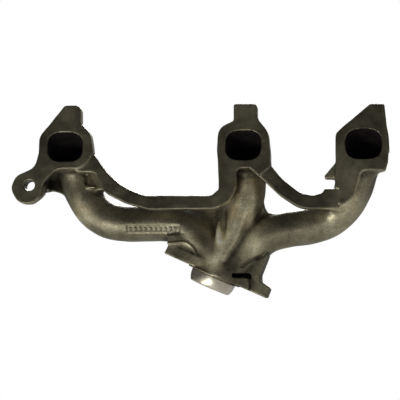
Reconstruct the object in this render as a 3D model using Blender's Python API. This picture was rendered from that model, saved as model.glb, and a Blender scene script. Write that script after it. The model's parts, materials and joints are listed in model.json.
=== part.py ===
"""Cast-iron exhaust manifold for a bank of three cylinders, with its outlet pointing down.

Frame: +X along the engine, +Y away from the cylinder head, +Z up. The origin is the centre of
the middle port on the head face, so the machined head face is the plane Y = 0.
Lengths below are in millimetres, and MM turns them into metres when a mesh is made.

The real manifold is one casting. Each of its sections (flange, tie bar, elbow, runner, collector,
rib, web) is an object of its own here, with a parting gap of GAP to its neighbours, and the
machined seat ring on the outlet is a piece of its own.
"""

import math

import bmesh
import bpy
import numpy as np

MM = 0.001
GAP = 0.3
GAP_TO_RUNNER = 0.8

# Head side
PORT_X = {"left": -145.0, "middle": 0.0, "right": 96.0}
PORT_HALF_WIDTH = 14.3
PORT_HALF_HEIGHT = 11.9
PORT_SQUARENESS = 2.9
FLANGE_THICKNESS = 11.0
EAR_CENTRE = (-173.9, -31.2)
EAR_BOSS_RADIUS = 12.5
EAR_THICKNESS = 14.0
EAR_HOLE_RADIUS = 4.4
BAR_FRONT = 1.0
BAR_BACK = 9.0
HOOK_FRONT = 3.0

# Runners
WALL = 4.2
RUNNER_DEPTH = 28.5
ELBOW_START = FLANGE_THICKNESS + 0.9
ROUND_AT = 27.0
TUBE_SIDES = 24

# Outlet
OUTLET_CENTRE = (-25.6, 30.0, -101.8)
OUTLET_AXIS = (-0.4035, 0.0640, -0.9127)
OUTLET_THICKNESS = 9.0
OUTLET_HALF_LENGTH = 44.0
OUTLET_WAIST_RADIUS = 23.0
OUTLET_EAR_RADIUS = 15.0
OUTLET_BOLT_PITCH = 60.0
OUTLET_BOLT_RADIUS = 4.75
OUTLET_BORE_RADIUS = 14.5
BOSS_RADIUS = 22.5
BOSS_HEIGHT = 1.2
TRUNK_RADIUS = 21.5
TRUNK_LENGTH = 11.0
RING_HEIGHT = 9.4
RING_BASE_RADIUS = 18.8
RING_TIP_RADIUS = 16.5
LEFT_RIB_FRONT = 15.0
RIGHT_RIB_FRONT = 19.0
RIB_BACK = 42.0

# Outlines hold corners as (x, z, corner radius). Flange corners are measured from their port.
LEFT_FLANGE = [
    (-1.0, 34.0, 4), (12.6, 34.0, 5), (12.7, 18.4, 4), (20.4, 10.8, 10), (23.3, -5.0, 3),
    (19.0, -10.5, 10), (10.5, -17.4, 9), (-6.0, -17.4, 13), (-17.0, -28.0, 14),
    (-20.5, -41.5, 6), (-27.0, -46.0, 8), (-37.5, -46.0, 10), (-44.7, -33.5, 10),
    (-39.8, -23.2, 10), (-25.0, -16.7, 10), (-21.8, -5.0, 12), (-21.4, 8.0, 10),
]
MIDDLE_FLANGE = [
    (-7.9, 33.6, 1.5), (10.9, 33.4, 3), (11.0, 22.0, 10), (19.4, 10.5, 14), (21.4, -6.0, 0),
    (22.1, -17.0, 0), (12.3, -24.9, 0), (4.8, -18.0, 2.5), (-5.3, -18.6, 4.5),
    (-6.0, -34.0, 12), (-11.5, -45.0, 8), (-19.6, -49.8, 0), (-19.7, -30.0, 0),
    (-21.1, -4.0, 18), (-20.0, 14.0, 9), (-8.0, 20.0, 2),
]
RIGHT_FLANGE = [
    (5.3, 32.3, 4), (16.5, 32.0, 1.5), (18.3, 14.0, 0), (20.0, -5.4, 0), (18.8, -5.7, 0),
    (19.2, -13.5, 3), (17.3, -21.3, 2.5), (9.5, -20.8, 1), (-3.0, -19.3, 6),
    (-8.4, -40.5, 6), (-16.5, -47.8, 3), (-19.4, -47.8, 0), (-19.4, -35.3, 0),
    (-22.2, -35.3, 0), (-22.2, 8.7, 5),
]
HOOK = [(-21.0, -13.0, 0), (-31.4, -25.2, 1.2), (-30.4, -27.2, 1), (-21.0, -27.2, 0)]

# The two tie bars, in world X and Z.
LEFT_BAR = [
    (-121.2, -6.0, 0), (-112.0, -19.5, 60), (-99.0, -31.8, 40), (-80.5, -40.2, 25),
    (-25.5, -40.4, 5.5), (-20.0, -34.5, 0), (-20.0, -49.9, 0), (-24.5, -51.4, 10),
    (-76.0, -51.6, 30), (-95.5, -46.3, 60), (-113.0, -37.0, 14), (-120.0, -21.3, 5),
    (-130.0, -20.6, 0), (-130.0, -16.3, 0), (-125.4, -10.8, 0),
]
RIGHT_BAR = [
    (22.6, -17.4, 0), (30.0, -26.2, 30), (45.5, -39.0, 16), (55.5, -40.9, 12),
    (63.4, -38.6, 4), (64.8, -35.6, 0), (76.2, -35.6, 0), (76.2, -50.6, 2),
    (73.0, -51.4, 0), (46.0, -51.4, 22), (29.5, -41.0, 40), (12.7, -25.3, 0),
]

# Ribs and webs behind the head plane, in world X and Z. The runners then cut them to shape.
LEFT_RIB = [
    (-64.4, -70.0, 0), (-46.0, -70.0, 0), (-37.0, -84.0, 0), (-34.0, -95.0, 0), (-62.0, -80.0, 0),
]
RIGHT_RIB = [
    (17.4, -80.0, 0), (17.8, -86.0, 0), (11.4, -102.5, 8), (12.2, -108.6, 4),
    (18.0, -112.0, 0), (-9.0, -112.0, 0), (-9.0, -88.0, 0),
]
EAR_WEB = [
    (-169.5, -27.0, 0), (-160.0, -14.0, 0), (-146.0, -14.0, 0), (-146.0, -38.0, 0),
    (-156.0, -32.8, 6), (-163.0, -31.0, 12), (-170.5, -35.0, 0),
]
LEFT_BAR_WEB = [
    (-130.0, -17.2, 0), (-124.0, -12.2, 0), (-113.0, -27.0, 0), (-116.0, -32.6, 3),
    (-130.0, -33.6, 0),
]
RUNNER_WEB = [
    (-56.0, -49.0, 0), (-14.0, -47.0, 0), (-14.0, -74.0, 0), (-40.0, -74.0, 0), (-56.0, -62.0, 0),
]
LEG_WEB = [
    (75.0, -24.0, 0), (80.0, -24.0, 0), (80.0, -45.0, 0), (77.5, -45.0, 0), (77.0, -36.0, 0),
    (75.0, -34.0, 0),
]
WEB_BACK = 25.0
RUNNER_WEB_FRONT = 22.0
RUNNER_WEB_BACK = 36.0

# Runner centrelines from the port to the outlet, as (x, y, z, outer radius).
RUNNER_ROUTES = {
    "left": [
        (-145.0, 0.0, 0.0, 16.4), (-145.0, 9.0, -0.5, 16.0), (-144.0, 20.5, -7.0, 15.0),
        (-140.6, 27.5, -19.0, 14.6), (-134.0, 28.5, -36.0, 14.6), (-124.8, 28.5, -49.2, 14.6),
        (-112.2, 28.5, -57.3, 14.6), (-97.0, 28.5, -59.8, 14.6), (-80.0, 28.5, -59.8, 14.6),
        (-64.0, 28.5, -60.2, 14.6), (-51.0, 28.8, -65.0, 14.8), (-41.0, 29.2, -75.0, 15.5),
        (-33.0, 29.6, -86.5, 17.0), (-25.6, 30.0, -101.8, 19.0),
    ],
    "middle": [
        (0.0, 0.0, 0.0, 16.4), (0.0, 9.0, -0.5, 16.0), (0.2, 20.5, -7.0, 15.4),
        (0.2, 27.0, -18.0, 15.4), (0.0, 28.5, -31.0, 15.6), (-1.8, 28.5, -45.0, 16.2),
        (-6.0, 28.8, -59.0, 16.5), (-12.5, 29.2, -74.0, 16.8), (-19.0, 29.6, -88.0, 18.0),
        (-25.6, 30.0, -101.8, 19.3),
    ],
    "right": [
        (96.0, 0.0, 0.0, 16.4), (96.0, 9.0, -0.5, 16.0), (95.0, 20.5, -7.0, 15.0),
        (92.0, 27.5, -19.0, 14.6), (87.3, 28.5, -33.0, 14.6), (79.0, 28.5, -47.0, 14.6),
        (66.5, 28.5, -57.5, 14.6), (51.0, 28.5, -62.8, 14.6), (35.0, 28.5, -64.8, 14.6),
        (19.0, 28.8, -69.0, 14.8), (4.0, 29.2, -77.0, 15.5), (-9.5, 29.6, -87.5, 17.0),
        (-25.6, 30.0, -101.8, 19.6),
    ],
}
# How far along its route, from 0 to 1, each elbow ends and each runner meets the collector.
ELBOW_END = {"left": 0.22, "middle": 0.36, "right": 0.24}
RUNNER_END = {"left": 0.705, "middle": 0.50, "right": 0.655}


def rounded(corners, offset_x=0.0, step_degrees=15):
    """The outline through the corners, with each corner turned into an arc of its radius."""
    outline = []
    for index, (x, z, radius) in enumerate(corners):
        corner = np.array((x, z))
        to_last = np.array(corners[index - 1][:2]) - corner
        to_next = np.array(corners[(index + 1) % len(corners)][:2]) - corner
        to_last /= np.linalg.norm(to_last)
        to_next /= np.linalg.norm(to_next)
        opening = math.acos(float(np.clip(to_last @ to_next, -1, 1)))
        if radius == 0 or opening > math.radians(178):
            outline.append(corner)
            continue
        bisector = (to_last + to_next) / np.linalg.norm(to_last + to_next)
        centre = corner + bisector * radius / math.sin(opening / 2)
        reach = radius / math.tan(opening / 2)
        start = corner + to_last * reach - centre
        end = corner + to_next * reach - centre
        first = math.atan2(start[1], start[0])
        sweep = (math.atan2(end[1], end[0]) - first + math.pi) % math.tau - math.pi
        steps = max(1, math.ceil(abs(math.degrees(sweep)) / step_degrees))
        for turn in np.linspace(first, first + sweep, steps + 1):
            outline.append(centre + radius * np.array((math.cos(turn), math.sin(turn))))
    return np.array(outline) + np.array((offset_x, 0.0))


def make_object(name, points, faces, material):
    """A mesh object from points in millimetres, with every face turned outwards."""
    mesh = bpy.data.meshes.new(name)
    mesh.from_pydata([tuple(np.array(point) * MM) for point in points], [], faces)
    shell = bmesh.new()
    shell.from_mesh(mesh)
    bmesh.ops.recalc_face_normals(shell, faces=shell.faces)
    shell.to_mesh(mesh)
    shell.free()
    mesh.materials.append(material)
    mesh.shade_smooth()
    mesh.set_sharp_from_angle(angle=math.radians(35))
    made = bpy.data.objects.new(name, mesh)
    bpy.context.scene.collection.objects.link(made)
    return made


def prism(name, outline, low, high, material, place):
    """An outline extruded from low to high; place turns (u, v, height) into a point."""
    count = len(outline)
    points = [place(u, v, low) for u, v in outline] + [place(u, v, high) for u, v in outline]
    sides = [(i, (i + 1) % count, (i + 1) % count + count, i + count) for i in range(count)]
    caps = [tuple(range(count)), tuple(range(2 * count - 1, count - 1, -1))]
    return make_object(name, points, sides + caps, material)


def in_head_plane(u, v, height):
    """Outline in X and Z, thickness along Y."""
    return (u, height, v)


def on_outlet(u, v, height):
    """Outline in the outlet's plane, u to the right and v away from the head; height is upwards."""
    axis = np.array(OUTLET_AXIS) / np.linalg.norm(OUTLET_AXIS)
    across = np.array((-axis[2], 0.0, axis[0]))
    across /= np.linalg.norm(across)
    away = np.cross(axis, across)
    return np.array(OUTLET_CENTRE) + across * u + away * v - axis * height


def plate(name, corners, low, high, material, offset_x=0.0):
    return prism(name, rounded(corners, offset_x), low, high, material, in_head_plane)


def circle(radius, centre=(0.0, 0.0), count=32):
    turns = np.linspace(0, math.tau, count, endpoint=False)
    return [(centre[0] + radius * math.cos(t), centre[1] + radius * math.sin(t)) for t in turns]


def superellipse(half_width, half_height, squareness, count=TUBE_SIDES):
    """A rounded rectangle: squareness 2 is an ellipse, and more is squarer."""
    turns = np.linspace(0, math.tau, count, endpoint=False)
    power = 2 / squareness
    across = half_width * np.sign(np.cos(turns)) * np.abs(np.cos(turns)) ** power
    up = half_height * np.sign(np.sin(turns)) * np.abs(np.sin(turns)) ** power
    return np.column_stack((across, up))


def combine(target, other, operation):
    """Adds a Boolean to target; other becomes a hidden helper."""
    other.hide_render = True
    other.display_type = "WIRE"
    modifier = target.modifiers.new(operation.lower(), "BOOLEAN")
    modifier.operation = operation
    modifier.object = other
    modifier.solver = "EXACT"


def smooth_route(route, per_span=6):
    """A Catmull-Rom curve through the route's points, as (x, y, z, radius) rows."""
    knots = np.array(route, float)
    knots = np.vstack((2 * knots[0] - knots[1], knots, 2 * knots[-1] - knots[-2]))
    rows = []
    for before, here, there, after in zip(knots, knots[1:], knots[2:], knots[3:]):
        for t in np.linspace(0, 1, per_span, endpoint=False):
            line = 2 * here + (there - before) * t
            bend = (2 * before - 5 * here + 4 * there - after) * t**2
            twist = (3 * here - 3 * there + after - before) * t**3
            rows.append((line + bend + twist) / 2)
    rows.append(knots[-2])
    return np.array(rows)


def route_table(side):
    """Distance, (x, y, z, radius), direction and sideways direction at points along a runner.

    The sideways direction starts along X at the port and is carried along without twisting.
    The direction leaves the flange squarely, and follows the route from ROUND_AT on.
    """
    rows = smooth_route(RUNNER_ROUTES[side])
    steps = np.diff(rows[:, :3], axis=0)
    travelled = np.concatenate(([0.0], np.cumsum(np.linalg.norm(steps, axis=1))))
    directions = np.gradient(rows[:, :3], axis=0)
    directions /= np.linalg.norm(directions, axis=1)[:, None]
    roundness = roundness_at(travelled)[:, None]
    directions = roundness * directions + (1 - roundness) * np.array((0.0, 1.0, 0.0))
    directions /= np.linalg.norm(directions, axis=1)[:, None]
    sideways = [np.array((1.0, 0.0, 0.0))]
    for ahead in directions[1:]:
        carried = sideways[-1] - ahead * (sideways[-1] @ ahead)
        sideways.append(carried / np.linalg.norm(carried))
    return travelled, np.hstack((rows, directions, np.array(sideways)))


def roundness_at(travelled):
    """0 where the runner has the port's shape, and 1 where it is round."""
    return np.clip((travelled - ELBOW_START) / (ROUND_AT - ELBOW_START), 0, 1)


def route_length(side):
    return float(route_table(side)[0][-1])


def rings(side, start, end, count, inset):
    """Rings of points along a runner. An inset of 0 gives its outside, and WALL its bore."""
    travelled, table = route_table(side)
    found = []
    for place in np.linspace(start, end, count):
        row = np.array([np.interp(place, travelled, column) for column in table.T])
        across = row[7:10] / np.linalg.norm(row[7:10])
        up = np.cross(across, row[4:7])
        up /= np.linalg.norm(up)
        roundness = roundness_at(place)
        round_ring = superellipse(row[3] - inset, row[3] - inset, 2.0)
        port_ring = superellipse(
            PORT_HALF_WIDTH + WALL - inset, PORT_HALF_HEIGHT + WALL - inset, PORT_SQUARENESS
        )
        ring = roundness * round_ring + (1 - roundness) * port_ring
        found.append([row[:3] + u * across + v * up for u, v in ring])
    return found


def skin(ring_list, first, closed):
    """Faces between neighbouring rings whose points start at index first."""
    count = len(ring_list[0])
    spans = len(ring_list) if closed else len(ring_list) - 1
    faces = []
    for k in range(spans):
        a, b = first + k * count, first + (k + 1) % len(ring_list) * count
        faces += [(a + i, a + (i + 1) % count, b + (i + 1) % count, b + i) for i in range(count)]
    return faces


def rod(name, side, start, end, count, inset, material):
    """A solid swept along a runner."""
    swept = rings(side, start, end, count, inset)
    points = [point for ring in swept for point in ring]
    last = len(points)
    caps = [tuple(range(TUBE_SIDES)), tuple(range(last - TUBE_SIDES, last))]
    return make_object(name, points, skin(swept, 0, closed=False) + caps, material)


def pipe(name, side, start, end, count, material):
    """A length of runner, open at both ends: its outside and its bore, joined by end faces."""
    outside = rings(side, start, end, count, 0.0)
    bore = rings(side, end, start, count, WALL)
    loop = outside + bore
    points = [point for ring in loop for point in ring]
    return make_object(name, points, skin(loop, 0, closed=True), material)


def iron(name, colour=(0.045, 0.040, 0.030), metallic=0.75, roughness=0.5):
    made = bpy.data.materials.new(name)
    made.use_nodes = True
    shader = made.node_tree.nodes["Principled BSDF"]
    shader.inputs["Base Color"].default_value = (*colour, 1.0)
    shader.inputs["Metallic"].default_value = metallic
    shader.inputs["Roughness"].default_value = roughness
    return made


def cut_ports(flange, side):
    bore = superellipse(PORT_HALF_WIDTH, PORT_HALF_HEIGHT, PORT_SQUARENESS)
    bore = [(u + PORT_X[side], v) for u, v in bore]
    cutter = prism(f"cut_port_{side}", bore, -5, FLANGE_THICKNESS + 5, HELPER, in_head_plane)
    combine(flange, cutter, "DIFFERENCE")


def port_flange_left():
    name = "port_flange_left"
    flange = plate(name, LEFT_FLANGE, 0, FLANGE_THICKNESS, iron(name), PORT_X["left"])
    boss = circle(EAR_BOSS_RADIUS, EAR_CENTRE)
    combine(flange, prism("ear_boss", boss, 4, EAR_THICKNESS, HELPER, in_head_plane), "UNION")
    cut_ports(flange, "left")
    hole = circle(EAR_HOLE_RADIUS, EAR_CENTRE, 24)
    combine(flange, prism("ear_hole", hole, -5, 25, HELPER, in_head_plane), "DIFFERENCE")


def port_flange_middle():
    name = "port_flange_middle"
    flange = plate(name, MIDDLE_FLANGE, 0, FLANGE_THICKNESS, iron(name), PORT_X["middle"])
    cut_ports(flange, "middle")


def port_flange_right():
    name = "port_flange_right"
    flange = plate(name, RIGHT_FLANGE, 0, FLANGE_THICKNESS, iron(name), PORT_X["right"])
    hook = plate("hook", HOOK, HOOK_FRONT, FLANGE_THICKNESS - 1, HELPER, PORT_X["right"])
    combine(flange, hook, "UNION")
    cut_ports(flange, "right")


def tie_bars():
    for name, corners in (("tie_bar_left", LEFT_BAR), ("tie_bar_right", RIGHT_BAR)):
        plate(name, corners, BAR_FRONT, BAR_BACK, iron(name))


def runners():
    """Each runner from its flange to the collector, in two lengths."""
    for side in PORT_X:
        length = route_length(side)
        elbow_end = ELBOW_END[side] * length
        runner_end = RUNNER_END[side] * length
        elbow, runner = f"port_elbow_{side}", f"runner_{side}"
        pipe(elbow, side, ELBOW_START, elbow_end, 7, iron(elbow))
        pipe(runner, side, elbow_end + GAP, runner_end, 8, iron(runner))


def cut_below_outlet_face(target):
    """Trims what stands on the outlet flange to its top face, with the parting gap."""
    slab = [(-60, -40), (60, -40), (60, 40), (-60, 40)]
    top = OUTLET_THICKNESS + GAP
    combine(target, prism(f"{target.name}_trim", slab, -30, top, HELPER, on_outlet), "DIFFERENCE")


def collector():
    """The three runners' last stretches and a short trunk, joined, with one branching bore."""
    name = "collector"
    trunk_low = OUTLET_THICKNESS + GAP
    trunk_high = trunk_low + TRUNK_LENGTH
    body = prism(name, circle(TRUNK_RADIUS), trunk_low, trunk_high, iron(name), on_outlet)
    bore = prism("trunk_bore", circle(OUTLET_BORE_RADIUS), 2, trunk_high - 2, HELPER, on_outlet)
    for side in PORT_X:
        length = route_length(side)
        start = RUNNER_END[side] * length + GAP
        outside_end = length - OUTLET_THICKNESS - 5
        stub = rod(f"stub_{side}", side, start, outside_end, 8, 0.0, HELPER)
        combine(body, stub, "UNION")
        hollow = rod(f"hollow_{side}", side, start - 1, outside_end + 2, 8, WALL, HELPER)
        combine(bore, hollow, "UNION")
    cut_below_outlet_face(body)
    combine(body, bore, "DIFFERENCE")


def outlet_outline():
    """A waist disc and two smaller ear discs inside one taut outline."""
    ear_centre = OUTLET_HALF_LENGTH - OUTLET_EAR_RADIUS
    lean = math.acos((OUTLET_WAIST_RADIUS - OUTLET_EAR_RADIUS) / ear_centre)
    outline = []
    arcs = (
        (ear_centre, OUTLET_EAR_RADIUS, -lean, lean),
        (0.0, OUTLET_WAIST_RADIUS, lean, math.pi - lean),
        (-ear_centre, OUTLET_EAR_RADIUS, math.pi - lean, math.pi + lean),
        (0.0, OUTLET_WAIST_RADIUS, math.pi + lean, math.tau - lean),
    )
    for centre, radius, first, last in arcs:
        steps = math.ceil(abs(last - first) / math.radians(15))
        for turn in np.linspace(first, last, steps + 1):
            outline.append((centre + radius * math.cos(turn), radius * math.sin(turn)))
    return outline


def outlet_flange():
    name = "outlet_flange"
    flange = prism(name, outlet_outline(), 0, OUTLET_THICKNESS, iron(name), on_outlet)
    boss = prism("boss", circle(BOSS_RADIUS), -BOSS_HEIGHT, 4, HELPER, on_outlet)
    combine(flange, boss, "UNION")
    holes = [("outlet_bore", OUTLET_BORE_RADIUS, 0.0)]
    holes += [(f"outlet_bolt_{s}", OUTLET_BOLT_RADIUS, s * OUTLET_BOLT_PITCH / 2) for s in (-1, 1)]
    for hole_name, radius, u in holes:
        cutter = prism(hole_name, circle(radius, (u, 0.0)), -9, 20, HELPER, on_outlet)
        combine(flange, cutter, "DIFFERENCE")


def outlet_seat_ring():
    """A turned ring whose outside swells slightly and then tapers to its tip."""
    base = -BOSS_HEIGHT - GAP
    profile = [(OUTLET_BORE_RADIUS, 0.0), (RING_BASE_RADIUS, 0.0)]
    for share in np.linspace(0.25, 0.95, 6):
        drop = (RING_BASE_RADIUS - RING_TIP_RADIUS) * share**2.2
        profile.append((RING_BASE_RADIUS - drop, -RING_HEIGHT * share))
    profile.append((RING_TIP_RADIUS - 0.6, -RING_HEIGHT))
    profile.append((OUTLET_BORE_RADIUS, -RING_HEIGHT))
    loop = [
        [on_outlet(u, v, base + height) for u, v in circle(radius, count=40)]
        for radius, height in profile
    ]
    points = [point for ring in loop for point in ring]
    shine = iron("outlet_seat_ring", colour=(0.50, 0.46, 0.38), metallic=1.0, roughness=0.3)
    make_object("outlet_seat_ring", points, skin(loop, 0, closed=True), shine)


def cut_by_runners(target, sides):
    """Cuts a rib or a web by the runners that it joins, with the parting gap."""
    for side in sides:
        end = route_length(side) - OUTLET_THICKNESS
        cutter = rod(f"{target.name}_by_{side}", side, 2, end, 36, -GAP_TO_RUNNER, HELPER)
        combine(target, cutter, "DIFFERENCE")


def ribs():
    """The ribs between the outer runners and the ears of the outlet flange.

    On the left the runner all but touches the ear, so it parts the rib into a front and a rear.
    """
    for name, corners, side, front, back in (
        ("flange_rib_left_front", LEFT_RIB, "left", LEFT_RIB_FRONT, RUNNER_DEPTH - 2),
        ("flange_rib_left_rear", LEFT_RIB, "left", RUNNER_DEPTH + 2, RIB_BACK),
        ("flange_rib_right", RIGHT_RIB, "right", RIGHT_RIB_FRONT, RIB_BACK),
    ):
        rib = plate(name, corners, front, back, iron(name))
        cut_below_outlet_face(rib)
        cut_by_runners(rib, (side, "middle"))
        around_trunk = circle(TRUNK_RADIUS + GAP_TO_RUNNER)
        trunk = prism(f"{name}_by_trunk", around_trunk, 2, 25, HELPER, on_outlet)
        combine(rib, trunk, "DIFFERENCE")


def webs():
    """Cast webs behind the head plane, each against the runners that it joins."""
    for name, corners, front, back, sides in (
        ("ear_web", EAR_WEB, EAR_THICKNESS + GAP, WEB_BACK, ("left",)),
        ("bar_web_left", LEFT_BAR_WEB, FLANGE_THICKNESS + GAP, WEB_BACK, ("left",)),
        ("leg_web", LEG_WEB, FLANGE_THICKNESS + GAP, WEB_BACK, ("right",)),
        ("runner_web", RUNNER_WEB, RUNNER_WEB_FRONT, RUNNER_WEB_BACK, ("left", "middle")),
    ):
        cut_by_runners(plate(name, corners, front, back, iron(name)), sides)


for old in list(bpy.data.objects):
    bpy.data.objects.remove(old, do_unlink=True)
HELPER = iron("helper")
port_flange_left()
port_flange_middle()
port_flange_right()
tie_bars()
runners()
collector()
outlet_flange()
outlet_seat_ring()
ribs()
webs()
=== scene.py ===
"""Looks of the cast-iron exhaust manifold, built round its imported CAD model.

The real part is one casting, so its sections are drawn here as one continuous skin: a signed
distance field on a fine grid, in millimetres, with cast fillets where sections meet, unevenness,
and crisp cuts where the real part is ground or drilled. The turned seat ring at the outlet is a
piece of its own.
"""

import json
import math

import bmesh
import bpy
import numpy as np
import openvdb
from mathutils import Matrix, Vector


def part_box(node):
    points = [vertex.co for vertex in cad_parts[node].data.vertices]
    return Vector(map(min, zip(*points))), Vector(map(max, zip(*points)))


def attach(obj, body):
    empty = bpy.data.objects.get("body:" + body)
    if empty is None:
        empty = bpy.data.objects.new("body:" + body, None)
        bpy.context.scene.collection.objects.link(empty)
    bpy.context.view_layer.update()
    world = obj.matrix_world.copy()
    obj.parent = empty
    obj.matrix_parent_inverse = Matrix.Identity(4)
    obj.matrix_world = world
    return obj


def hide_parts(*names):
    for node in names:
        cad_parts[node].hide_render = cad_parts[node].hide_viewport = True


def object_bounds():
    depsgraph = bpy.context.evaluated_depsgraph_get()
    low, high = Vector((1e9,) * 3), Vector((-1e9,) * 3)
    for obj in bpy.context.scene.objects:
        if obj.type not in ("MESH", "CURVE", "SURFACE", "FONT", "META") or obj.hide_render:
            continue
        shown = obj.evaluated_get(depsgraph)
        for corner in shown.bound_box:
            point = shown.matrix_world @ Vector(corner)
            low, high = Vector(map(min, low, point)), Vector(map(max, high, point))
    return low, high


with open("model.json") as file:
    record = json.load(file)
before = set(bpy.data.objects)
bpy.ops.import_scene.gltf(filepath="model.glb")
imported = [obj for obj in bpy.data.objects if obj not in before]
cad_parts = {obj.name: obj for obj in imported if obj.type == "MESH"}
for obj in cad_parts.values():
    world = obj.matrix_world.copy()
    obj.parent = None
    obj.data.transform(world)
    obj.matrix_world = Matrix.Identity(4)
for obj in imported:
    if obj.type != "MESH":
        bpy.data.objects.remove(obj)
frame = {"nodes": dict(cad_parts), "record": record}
CAD_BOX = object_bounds()

MM = 0.001

# The distance field, in millimetres: its grid step, the distance where nothing is near, and how
# far past its own box a shape is worked out.
VOXEL = 0.65
FAR = 20.0
REACH = 5.0
# The longest straight step of an arc in an outline, in degrees.
ARC_STEP = 6
# Straight lengths in each span of a route: of a runner, and of a small feature.
RUNNER_LENGTHS = 14
ROUTE_LENGTHS = 5

MOUNTS = {mount["name"]: mount for mount in frame["record"]["mounts"]}


def span(node, axis):
    """A node's lowest and highest value along an axis, in millimetres."""
    low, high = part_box(node)
    return low[axis] / MM, high[axis] / MM


# Head side, in millimetres. X runs along the engine, Y away from the head, Z up.
PORT_X = {"left": -145.0, "middle": 0.0, "right": 96.0}
PORT_HALF_WIDTH = 14.3
PORT_HALF_HEIGHT = 11.9
PORT_SQUARENESS = 2.9
# Runners and flanges start in front of the head face, and are ground back to it.
PORT_START = 6.0
FLANGE_FRONT = -3.0
FLANGE_BACK = span("port_flange_middle", 1)[1]
BAR_FRONT, BAR_BACK = span("tie_bar_left", 1)
EAR_CENTRE = (-173.9, -31.2)
EAR_BOSS_RADIUS = 12.5
EAR_FRONT = 4.0
EAR_BACK = span("port_flange_left", 1)[1]
EAR_HOLE_RADIUS = 4.4
HOOK_FRONT = 3.0

# Runners: the section turns from the port's shape into round between two lengths along them.
WALL = 4.2
ROUND_FROM = FLANGE_BACK + 0.9
ROUND_AT = 27.0
JOINT_OVERLAP = 1.2

# Outlet: heights are measured upwards from the flange's lower face.
OUTLET_CENTRE = np.array((-25.6, 30.0, -101.8))
OUTLET_AXIS = np.array(MOUNTS["outlet_flange_face"]["axis"])
OUTLET_ACROSS = np.array((-OUTLET_AXIS[2], 0.0, OUTLET_AXIS[0]))
OUTLET_ACROSS /= np.linalg.norm(OUTLET_ACROSS)
OUTLET_AWAY = np.cross(OUTLET_AXIS, OUTLET_ACROSS)
OUTLET_THICKNESS = 9.0
OUTLET_WAIST_RADIUS = 18.0
OUTLET_EAR_RADIUS = 15.0
OUTLET_EAR_OFFSET = 29.0
OUTLET_BOLT_OFFSET = 30.0
OUTLET_BOLT_RADIUS = 4.75
OUTLET_BORE_RADIUS = 14.5
BOSS_RADIUS = 22.5
BOSS_HEIGHT = 1.2
TRUNK_RADIUS = 16.5
TRUNK_HEIGHT = 10.0
# The outlet's face is ground from this X on, so that the left runner stays whole.
OUTLET_GRIND_FROM_X = -72.0
OUTLET_GRIND_RADIUS = 60.0
OUTLET_GRIND_DEPTH = 30.0
# Drills start this far outside the face that they go through.
DRILL_START = -9.0
RING_GAP = 0.3
RING_HEIGHT = 9.4
RING_BASE_RADIUS = 18.8
RING_TIP_RADIUS = 16.5
RING_TAPER_POWER = 2.2
RING_SIDES = 160
LEFT_RIB_FRONT = 15.0
RIGHT_RIB_FRONT = 19.0
RIB_BACK = 42.0
# Boxes cut out of the outlet flange, as (low corner, high corner): its front right of the
# ring, and the slot above that.
FLANGE_NOTCH = ((3.8, -10.0, -130.0), (40.0, RIGHT_RIB_FRONT, -104.0))
FLANGE_SLOT = ((-9.6, 0.0, -105.2), (4.6, 24.0, -101.8))

# Outlines hold corners as (x, z, corner radius). Flange corners are measured from their port.
LEFT_FLANGE = [
    (-1.0, 34.0, 4), (12.6, 34.0, 5), (12.7, 18.4, 4), (20.4, 10.8, 10), (23.3, -5.0, 3),
    (19.0, -10.5, 10), (10.5, -17.4, 9), (-6.0, -17.4, 13), (-17.0, -28.0, 14),
    (-20.5, -41.5, 6), (-27.0, -46.0, 8), (-37.5, -46.0, 10), (-44.7, -33.5, 10),
    (-39.8, -23.2, 10), (-25.0, -16.7, 10), (-21.8, -5.0, 12), (-21.4, 8.0, 10),
]
MIDDLE_FLANGE = [
    (-7.9, 33.6, 1.5), (10.9, 33.4, 3), (11.0, 22.0, 10), (19.4, 10.5, 14), (21.4, -6.0, 0),
    (22.1, -17.0, 0), (12.3, -24.9, 0), (4.8, -18.0, 2.5), (-5.3, -18.6, 4.5),
    (-6.0, -34.0, 12), (-11.5, -45.0, 8), (-19.6, -49.8, 0), (-19.7, -30.0, 0),
    (-21.1, -4.0, 18), (-20.0, 14.0, 9), (-8.0, 20.0, 2),
]
RIGHT_FLANGE = [
    (5.3, 32.3, 4), (16.5, 32.0, 1.5), (18.3, 14.0, 0), (20.0, -5.4, 0), (18.8, -5.7, 0),
    (19.2, -13.5, 3), (17.3, -21.3, 2.5), (9.5, -20.8, 1), (-3.0, -19.3, 6),
    (-8.4, -40.5, 6), (-16.5, -47.8, 3), (-19.4, -47.8, 0), (-19.4, -35.3, 0),
    (-22.2, -35.3, 0), (-22.2, 8.7, 5),
]
HOOK = [(-21.0, -13.0, 0), (-31.4, -25.2, 1.2), (-30.4, -27.2, 1), (-21.0, -27.2, 0)]
LEFT_BAR = [
    (-121.2, -6.0, 0), (-112.0, -19.5, 60), (-99.0, -31.8, 40), (-80.5, -40.2, 25),
    (-25.5, -40.4, 5.5), (-19.0, -34.5, 0), (-19.0, -49.9, 0), (-24.5, -51.4, 10),
    (-76.0, -51.6, 30), (-95.5, -46.3, 60), (-113.0, -37.0, 14), (-120.0, -21.3, 5),
    (-136.5, -20.2, 2), (-138.0, -12.3, 0), (-125.4, -8.8, 0),
]
RIGHT_BAR = [
    (21.6, -15.6, 0), (30.0, -26.2, 30), (45.5, -39.0, 16), (55.5, -40.9, 12),
    (63.4, -38.6, 4), (64.8, -35.6, 0), (77.2, -35.6, 0), (77.2, -50.6, 2),
    (73.0, -51.4, 0), (46.0, -51.4, 22), (29.5, -41.0, 40), (11.7, -24.0, 0),
]

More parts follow.
